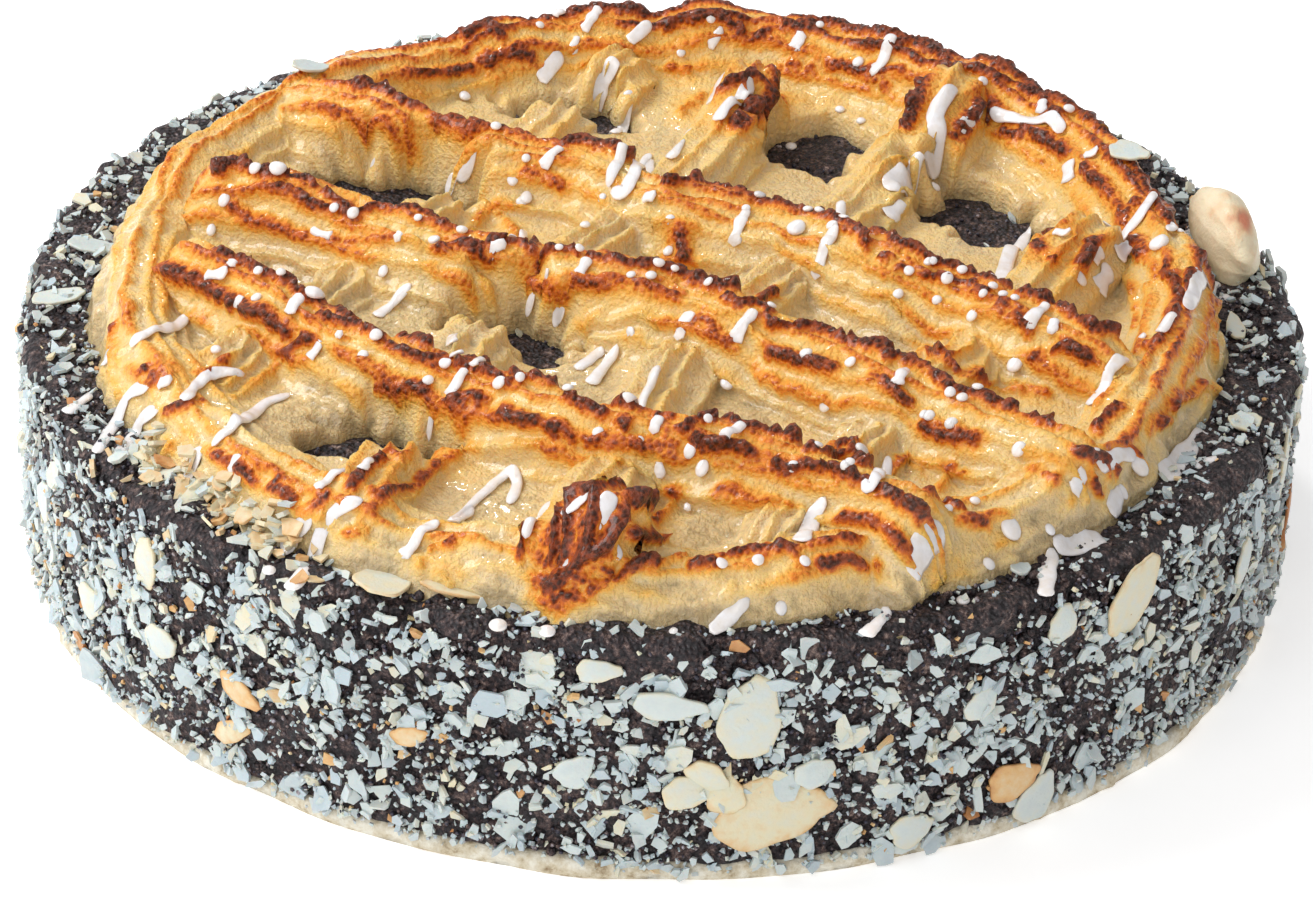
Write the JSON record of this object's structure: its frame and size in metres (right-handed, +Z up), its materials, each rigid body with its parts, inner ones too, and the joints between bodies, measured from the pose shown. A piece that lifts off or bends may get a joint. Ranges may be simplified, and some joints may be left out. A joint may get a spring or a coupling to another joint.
{
  "type": "poppy seed cake",
  "caption": "Round poppy seed cake on a thin crust disc, almond flakes on its side and a baked lattice of piped almond paste with icing strokes on top.",
  "frame": {"origin": "middle of the flat underside of the crust disc, where the cake stands", "axes": "+Z up through the cake, -Y to the side that faces the viewer in the picture"},
  "size_m": [0.2594, 0.2596, 0.0719],
  "materials": {
    "shortcrust": "dry, sandy baked dough",
    "poppy_crumb": "dark, moist, grainy crumb of poppy seed",
    "almond_flakes": "thin matt flakes of blanched almond",
    "almond_paste": "baked almond paste, pale in the hollows and caramel brown on the ridges, thinly glazed",
    "icing": "thin white sugar icing",
    "pale_dough": "smooth pale dough, lightly toasted at its edge"
  },
  "bodies": {
    "root": {"base_crust": "shortcrust", "poppy_cake": "poppy_crumb", "piped_lattice": "almond_paste", "rim_lump": "pale_dough"}
  },
  "joints": []
}
